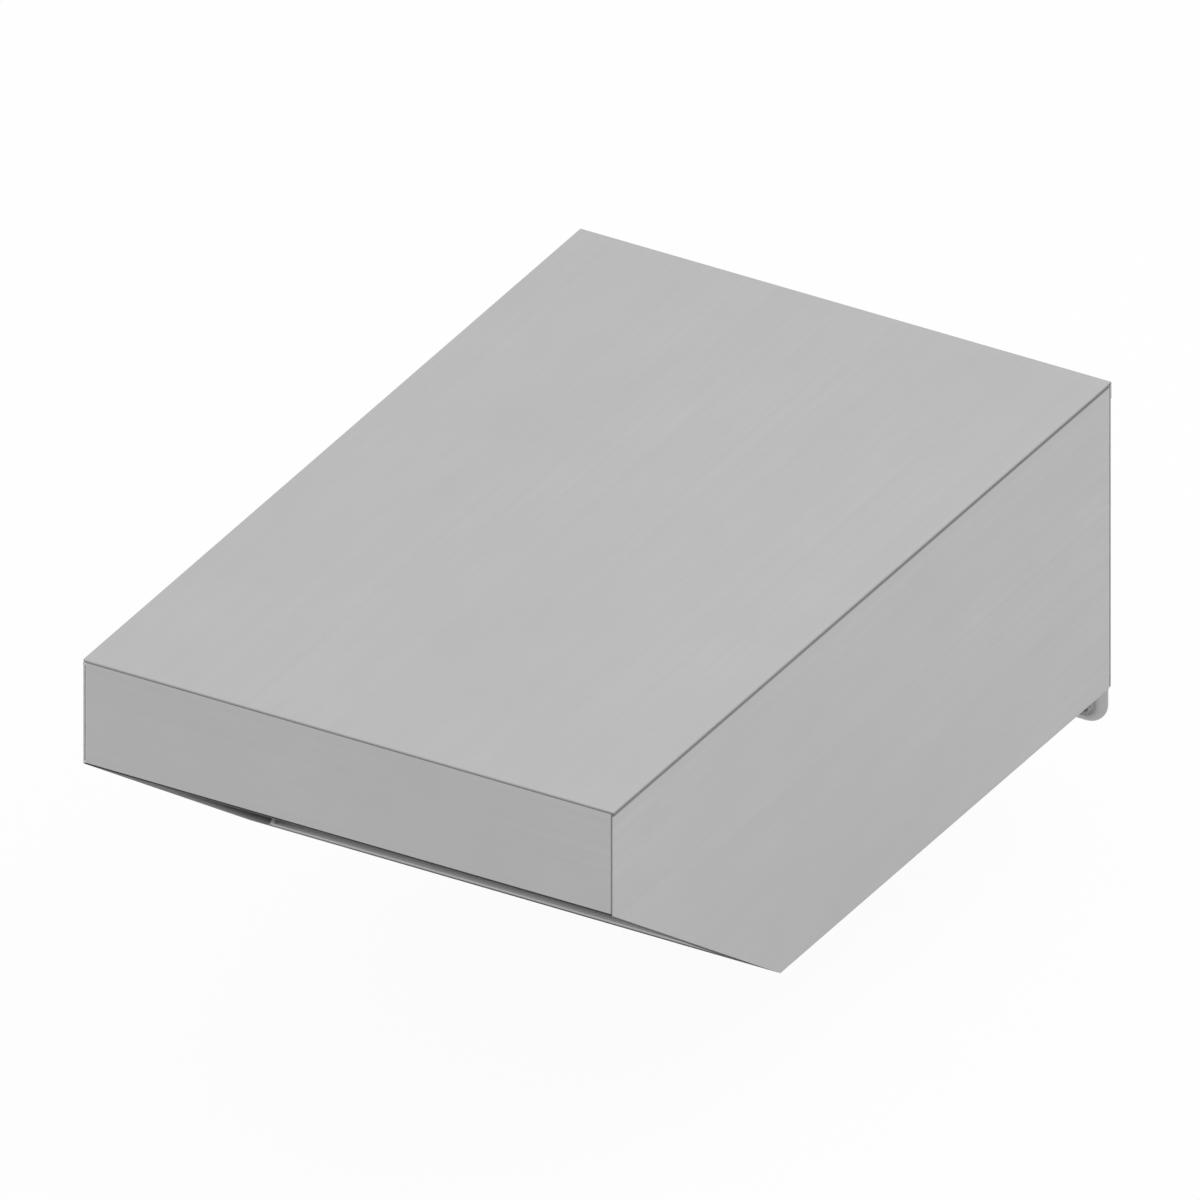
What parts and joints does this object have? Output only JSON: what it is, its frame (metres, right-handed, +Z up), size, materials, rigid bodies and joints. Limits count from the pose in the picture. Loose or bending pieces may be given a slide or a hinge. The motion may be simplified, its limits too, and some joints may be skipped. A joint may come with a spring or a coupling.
{
  "type": "condensation hood",
  "caption": "Condensation hood for a compact combi oven: stainless casing with a slanted front intake, tilting baffle filters, extraction fan and air-cooled condenser.",
  "frame": {"origin": "middle of the flat base, on the underside that rests on the oven", "axes": "+X to the right as seen from the front, +Y towards the rear, +Z up"},
  "size_m": [0.55, 0.9224, 0.3703],
  "materials": {
    "casing_steel": "fine satin stainless sheet",
    "inner_steel": "plain galvanised and stainless sheet",
    "drawn_steel": "drawn stainless tube and tray",
    "louvre_steel": "satin stainless slats",
    "filter_steel": "bright rolled stainless",
    "bright_steel": "bright plated steel",
    "bearing_steel": "ground bearing steel",
    "core_aluminium": "plain rolled aluminium",
    "wheel_aluminium": "pressed aluminium",
    "foam": "closed-cell foam",
    "seal_rubber": "red silicone",
    "magnet_ferrite": "grey ferrite",
    "black_plastic": "glass-filled, slight texture",
    "motor_black": "black cathodic paint",
    "board_green": "coated circuit board",
    "pale_plastic": "pale nylon",
    "capacitor_shell": "smooth plastic can",
    "brass": "turned brass"
  },
  "bodies": {
    "casing": {"top_lid": "casing_steel", "lid_gasket": "foam", "lid_stiffener": "inner_steel", "side_panel_left": "casing_steel", "side_panel_right": "casing_steel", "fascia": "casing_steel", "base_pan": "casing_steel", "rear_panel": "casing_steel", "rear_screws": "bright_steel", "intake_frame": "casing_steel", "centre_rail": "casing_steel", "filter_magnets": "magnet_ferrite", "duct_wall_left": "inner_steel", "duct_wall_right": "inner_steel", "lid_seals": "foam", "condenser_plates": "core_aluminium", "condenser_posts": "inner_steel", "core_seals": "foam", "bypass_plate": "inner_steel", "condensate_tray": "drawn_steel", "bulkhead": "inner_steel", "fan_inlet_ring": "inner_steel", "fan_bearings": "bearing_steel", "fan_stator": "motor_black", "motor_spider": "inner_steel", "motor_rods": "bright_steel", "motor_screws": "bright_steel", "warm_air_louvre": "louvre_steel", "cooling_air_louvre": "louvre_steel", "cooling_fan_frame": "black_plastic", "cooling_fan_guard": "bright_steel", "cooling_fan_screws": "bright_steel", "electrical_box": "inner_steel", "electrical_lid": "inner_steel", "control_board": "board_green", "terminal_block": "pale_plastic", "run_capacitor": "capacitor_shell", "cable_gland": "black_plastic", "steam_spigot": "drawn_steel", "steam_gasket": "seal_rubber", "drain_pipe": "drawn_steel", "drain_nut": "brass", "drain_elbow": "drawn_steel"},
    "filter_left": {"filter_frame_left": "filter_steel", "filter_baffles_left": "filter_steel", "filter_pivots_left": "bright_steel", "filter_pull_left": "bright_steel"},
    "filter_right": {"filter_frame_right": "filter_steel", "filter_baffles_right": "filter_steel", "filter_pivots_right": "bright_steel", "filter_pull_right": "bright_steel"},
    "fan_wheel": {"impeller": "wheel_aluminium", "fan_rotor_can": "motor_black", "fan_shaft": "bright_steel"},
    "cooling_wheel": {"cooling_fan_rotor": "black_plastic"}
  },
  "joints": [
    {"name": "filter_left_tilt", "type": "hinge", "parent": "casing", "child": "filter_left", "pos_m": [-0.1215, -0.5527, 0.21557], "axis": [-1, 0, 0], "range_deg": [0, 70]},
    {"name": "filter_right_tilt", "type": "hinge", "parent": "casing", "child": "filter_right", "pos_m": [0.1215, -0.5527, 0.21557], "axis": [-1, 0, 0], "range_deg": [0, 70]},
    {"name": "fan_spin", "type": "hinge", "parent": "casing", "child": "fan_wheel", "pos_m": [0, 0.1968, 0.158], "axis": [0, 1, 0], "continuous": true},
    {"name": "cooling_fan_spin", "type": "hinge", "parent": "casing", "child": "cooling_wheel", "pos_m": [-0.204, 0.2791, 0.112], "axis": [0, 1, 0], "continuous": true}
  ]
}
